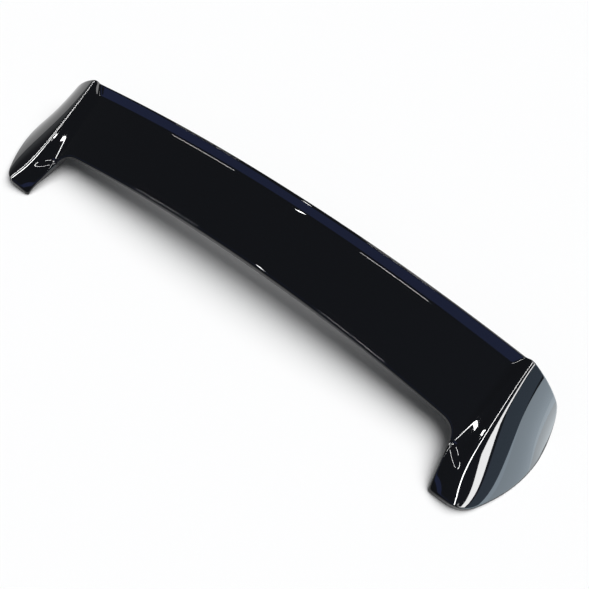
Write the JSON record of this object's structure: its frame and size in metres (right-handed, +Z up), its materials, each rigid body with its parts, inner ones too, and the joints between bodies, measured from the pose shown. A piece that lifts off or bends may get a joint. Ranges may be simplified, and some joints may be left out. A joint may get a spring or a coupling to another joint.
{
  "type": "rear spoiler",
  "caption": "Wide arched rear spoiler in gloss black: a sloping blade with a kicked-up rear lip, moulded in one with end feet and curved fins that bolt to a car's tailgate from below.",
  "frame": {"origin": "centre of the four threaded inserts, on the plane of the feet's undersides, which is the plane the spoiler rests on", "axes": "+X to the car's right along the span, +Y to the rear of the car, +Z up"},
  "size_m": [1.2176, 0.265, 0.1369],
  "materials": {
    "black_paint": "black paint under a high gloss clear coat on moulded plastic",
    "insert_brass": "turned brass, as machined"
  },
  "bodies": {
    "root": {"spoiler_body": "black_paint", "threaded_inserts": "insert_brass"}
  },
  "joints": []
}
